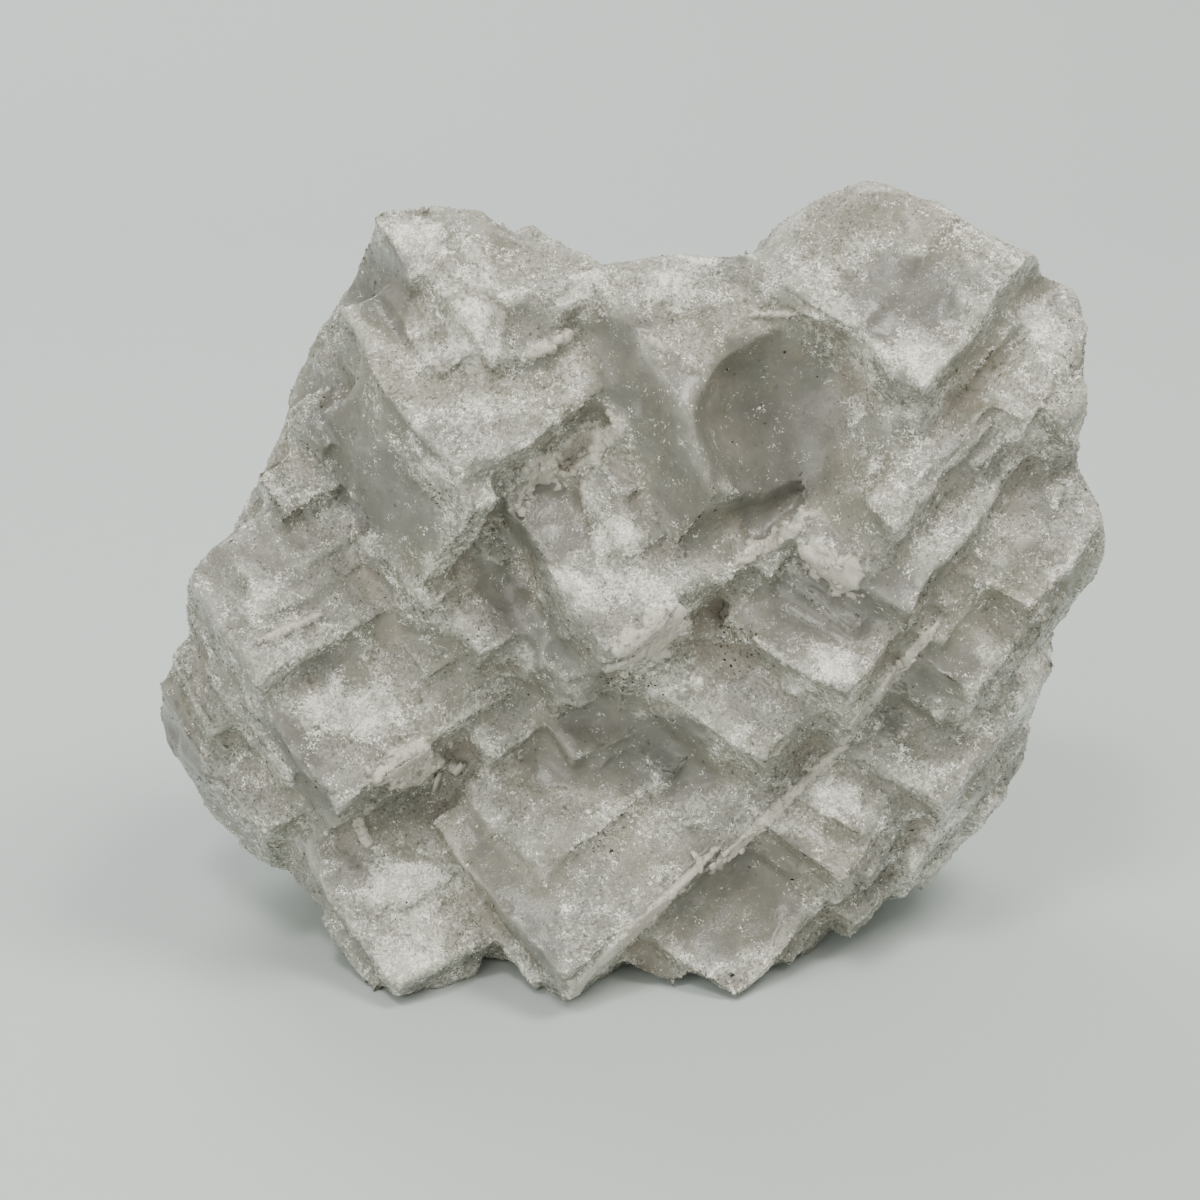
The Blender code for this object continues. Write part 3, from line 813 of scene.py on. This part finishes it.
class Nodes:
    """Short calls for building a material's nodes."""

    def __init__(self, name):
        self.material = bpy.data.materials.new(name)
        self.material.use_nodes = True
        self.tree = self.material.node_tree
        self.shader = self.tree.nodes["Principled BSDF"]
        self.place = self.tree.nodes.new("ShaderNodeTexCoord").outputs["Object"]

    def feed(self, value, socket):
        """Gives the socket a number, a colour or another node's output."""
        if isinstance(value, float):
            socket.default_value = value
        elif isinstance(value, tuple):
            socket.default_value = (*value, 1)
        else:
            self.tree.links.new(value, socket)

    def shade(self, **values):
        """Feeds the shader's sockets, named here with underscores."""
        for name, value in values.items():
            self.feed(value, self.shader.inputs[name.replace("_", " ")])

    def attribute(self, name):
        node = self.tree.nodes.new("ShaderNodeAttribute")
        node.attribute_name = name
        return node.outputs["Fac"]

    def noise(self, size_mm, detail=3.0, roughness=0.55, distortion=0.0):
        node = self.tree.nodes.new("ShaderNodeTexNoise")
        node.inputs["Scale"].default_value = 1 / (size_mm * MM)
        node.inputs["Detail"].default_value = detail
        node.inputs["Roughness"].default_value = roughness
        node.inputs["Distortion"].default_value = distortion
        self.feed(self.place, node.inputs["Vector"])
        return node.outputs["Fac"]

    def span(self, value, low, high, to_low=0.0, to_high=1.0):
        """The value taken from one pair of limits to another."""
        node = self.tree.nodes.new("ShaderNodeMapRange")
        for name, number in (("From Min", low), ("From Max", high), ("To Min", to_low), ("To Max", to_high)):
            node.inputs[name].default_value = number
        self.feed(value, node.inputs["Value"])
        return node.outputs["Result"]

    def reckon(self, operation, first, second):
        node = self.tree.nodes.new("ShaderNodeMath")
        node.operation = operation
        self.feed(first, node.inputs[0])
        self.feed(second, node.inputs[1])
        return node.outputs[0]

    def times(self, first, second):
        return self.reckon("MULTIPLY", first, second)

    def plus(self, first, second):
        return self.reckon("ADD", first, second)

    def grainy(self, value, size_mm, spread, low, high):
        """The value broken up into fine grains: noise is added, and the sum is taken between two limits."""
        grain = self.span(self.noise(size_mm, detail=1.0), 0.25, 0.75, -spread, spread)
        return self.span(self.plus(value, grain), low, high)

    def mix(self, share, first, second):
        """The first colour, turned into the second by that share."""
        node = self.tree.nodes.new("ShaderNodeMix")
        node.data_type = "RGBA"
        self.feed(share, node.inputs["Factor"])
        colours = [socket for socket in node.inputs if socket.type == "RGBA"]
        for socket, value in zip(colours, (first, second)):
            self.feed(value, socket)
        return next(socket for socket in node.outputs if socket.type == "RGBA")

    def bump(self, height, distance_mm, strength=1.0, layer="Normal"):
        node = self.tree.nodes.new("ShaderNodeBump")
        node.inputs["Distance"].default_value = distance_mm * MM
        node.inputs["Strength"].default_value = strength
        self.feed(height, node.inputs["Height"])
        self.feed(node.outputs["Normal"], self.shader.inputs[layer])


def crystal_colour(nodes):
    """Grey glassy crystal, olive in places, with faint veils."""
    shade = nodes.span(nodes.noise(6, detail=2), 0.35, 0.65)
    colour = nodes.mix(shade, DEEP_GREY, PALE_GREY)
    olive = nodes.span(nodes.noise(10, detail=1), 0.44, 0.58, 0.0, 0.8)
    colour = nodes.mix(olive, colour, OLIVE)
    veils = nodes.span(nodes.noise(2.2, distortion=0.3), 0.45, 0.72, 0.0, 0.5)
    return nodes.mix(veils, colour, VEIL)


def glittering(nodes, colour, clear):
    """The colour with painted glints: tiny white spots in clusters that stand for light glinting off small
    crystal faces, more where frosted, fewer where clear.
    """
    clusters = nodes.span(nodes.noise(1.5, detail=1), 0.3, 0.7, -0.10, 0.10)
    glint_noise = nodes.noise(0.30, detail=2.0, roughness=0.6, distortion=1.2)
    # painted glints: white spots where this noise runs high
    painted_glint_share = nodes.plus(glint_noise, nodes.plus(clusters, nodes.times(clear, -0.08)))
    painted_glint_share = nodes.plus(painted_glint_share, nodes.times(nodes.attribute("frost"), 0.17))
    return nodes.mix(nodes.span(painted_glint_share, 0.66, 0.73), colour, PAINTED_GLINT)


def stained(nodes, colour):
    """The colour with beige stains in the hollows, fainter on bare crystal."""
    stain = nodes.times(nodes.attribute("hollow"), nodes.span(nodes.noise(4, detail=1), 0.40, 0.62, 0.0, 0.7))
    stain = nodes.times(stain, nodes.span(nodes.attribute("glass"), 0, 1, 1.0, 0.25))
    return nodes.mix(stain, colour, STAIN)


def form_colour(nodes, frosting):
    """Glassy crystal; sugary white where frosted; lighter at edges, partly frost and partly a painted glow of
    light through thin edges; darker where clear; painted glints; stained in hollows; cream on plates, with
    painted shadow between their grains.
    """
    colour = crystal_colour(nodes)
    sugar = nodes.span(nodes.noise(0.26, detail=2.0), 0.40, 0.60, 0.0, 0.6)
    colour = nodes.mix(nodes.times(nodes.attribute("crust"), sugar), colour, SUGAR)
    frost = nodes.grainy(nodes.attribute("frost"), 0.40, 0.55, 0.35, 0.95)
    colour = nodes.mix(nodes.times(frost, frosting), colour, FROST)
    # edges lighter: partly frost, partly a painted glow of light through thin edges
    colour = nodes.mix(nodes.times(nodes.attribute("edge"), 0.40), colour, FROSTY_EDGE_GLOW)
    clear = nodes.times(nodes.grainy(nodes.attribute("glass"), 1.1, 0.5, 0.2, 1.2), 0.62)
    colour = nodes.mix(clear, colour, CLEAR)
    colour = stained(nodes, glittering(nodes, colour, clear))
    cream = nodes.grainy(nodes.attribute("cream"), 0.5, 0.35, 0.35, 0.65)
    colour = nodes.mix(nodes.times(cream, 0.8), colour, CREAM)
    # painted shadow between the cream's sugary grains
    return nodes.mix(nodes.times(nodes.times(cream, sugar), 0.6), colour, CREAM_GRAIN_SHADOW)


def body_material():
    """Milky grey crystal; its crust is a coat of fine glittering bumps, and it is smooth where bare."""
    nodes = Nodes("milky_fluorite")
    calm = nodes.span(nodes.attribute("glass"), 0, 1, 1.0, 0.6)
    grain = nodes.times(nodes.noise(0.35, detail=2, roughness=0.65), calm)
    nodes.bump(grain, distance_mm=0.10, strength=0.6)
    glint_noise = nodes.times(nodes.noise(0.42, detail=1, roughness=0.5), calm)
    nodes.bump(glint_noise, distance_mm=0.26, layer="Coat Normal")
    nodes.shade(
        Base_Color=form_colour(nodes, frosting=0.8),
        Roughness=nodes.span(nodes.attribute("crust"), 0, 1, 0.28, 0.32),
        Coat_Weight=nodes.span(nodes.attribute("frost"), 0, 1, 0.25, 0.9),
        Coat_Roughness=0.09,
        IOR=FLUORITE_IOR,
    )
    return nodes.material


def grain_material():
    """Frosty to clear-looking small crystals, a little different from one to the next."""
    nodes = Nodes("druzy_quartz")
    bright = nodes.span(nodes.attribute("tone"), 0.80, 0.95, 0.0, 0.6)
    nodes.shade(
        Base_Color=nodes.mix(bright, form_colour(nodes, frosting=0.9), BRIGHT_GRAIN),
        Roughness=nodes.span(nodes.attribute("tone"), 0, 1, 0.28, 0.10),
        IOR=QUARTZ_IOR,
    )
    return nodes.material


def flake_material():
    """Thin cream plates, whiter on some than on others."""
    nodes = Nodes("cream_flake")
    colour = nodes.mix(nodes.attribute("tone"), FLAKE_DARK, FLAKE_LIGHT)
    stain = nodes.span(nodes.noise(0.5, detail=4), 0.45, 0.65, 0.0, 0.5)
    nodes.shade(Base_Color=nodes.mix(stain, colour, FLAKE_STAIN), Roughness=0.3)
    nodes.bump(nodes.noise(0.3, detail=4, roughness=0.65), distance_mm=0.10, strength=0.6)
    return nodes.material


def speck_material():
    """Black to dark brown mineral specks."""
    nodes = Nodes("dark_speck")
    nodes.shade(Base_Color=nodes.mix(nodes.attribute("tone"), SPECK_BLACK, SPECK_BROWN), Roughness=0.35)
    nodes.bump(nodes.noise(0.1), distance_mm=0.02, strength=0.5)
    return nodes.material


def floor_material():
    nodes = Nodes("pale_floor")
    nodes.shade(Base_Color=FLOOR_COLOUR, Roughness=0.6)
    return nodes.material


# The studio.


def make_stage():
    """A plain pale floor that curves up behind the specimen."""
    turns = np.linspace(FIRST_TURN, math.pi / 2, 10)
    depth = [(FLOOR_FRONT, 0.0), (FLOOR_BACK, 0.0)]
    for turn in turns:
        depth.append((FLOOR_BACK + FLOOR_CURVE * math.sin(turn), FLOOR_CURVE - FLOOR_CURVE * math.cos(turn)))
    depth += [(FLOOR_BACK + FLOOR_CURVE, FLOOR_TOP)]
    points = [(x, y, z) for y, z in depth for x in (-FLOOR_HALF_WIDTH, FLOOR_HALF_WIDTH)]
    faces = [(2 * i, 2 * i + 1, 2 * i + 3, 2 * i + 2) for i in range(len(depth) - 1)]
    mesh = bpy.data.meshes.new("floor")
    mesh.from_pydata(points, [], faces)
    mesh.shade_smooth()
    mesh.materials.append(floor_material())
    new_object("floor", mesh)


def light_scene():
    for name, (place, side, power, colour) in LIGHTS.items():
        data = bpy.data.lights.new(name, "AREA")
        data.shape = "SQUARE"
        data.size = side
        data.energy = power
        data.color = colour
        light = new_object(name, data)
        light.location = place
        light.rotation_euler = (Vector(LIT_PLACE) - light.location).to_track_quat("-Z", "Y").to_euler()
    world = bpy.data.worlds.new("studio")
    world.use_nodes = True
    background = world.node_tree.nodes["Background"]
    background.inputs["Color"].default_value = (*SKY_COLOUR, 1)
    background.inputs["Strength"].default_value = SKY_STRENGTH
    bpy.context.scene.world = world


def add_camera():
    """Looks a little down at the showing side. Returns the middle of the view, in mm."""
    data = bpy.data.cameras.new("camera")
    data.lens = LENS
    data.sensor_width = SENSOR_WIDTH
    data.clip_start = NEAREST_SEEN
    camera = new_object("camera", data)
    target = np.array(VIEW_TARGET) * MM
    towards = view_axes()[2]
    camera.location = target + towards * VIEW_DISTANCE * MM
    camera.rotation_euler = (math.radians(90 - SHOWING_RISE), 0, 0)
    bpy.context.scene.camera = camera
    return target / MM


def build_specimen(middle):
    """Every piece of the specimen, riding on its one body and taking its finish from its one slot."""
    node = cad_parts["fluorite_cluster"]
    box = [np.array(corner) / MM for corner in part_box(node.name)]
    rng = np.random.default_rng(SEED)
    body = make_body(node, box, middle)
    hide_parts(node.name)
    crystals = [make_grains(body, index, box, rng) for index in range(GRAIN_PIECES)]
    crystals.append(make_small_cubes(body, box, rng))
    flakes = make_flakes(body, box, rng)
    specks = make_specks(body, box, rng)
    body.data.materials.clear()
    body.data.materials.append(body_material())
    druzy = grain_material()
    for piece in crystals:
        piece.data.materials.append(druzy)
    flakes.data.materials.append(flake_material())
    specks.data.materials.append(speck_material())
    for piece in [body, flakes, specks] + crystals:
        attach(piece, "root")


build_specimen(add_camera())
make_stage()
light_scene()
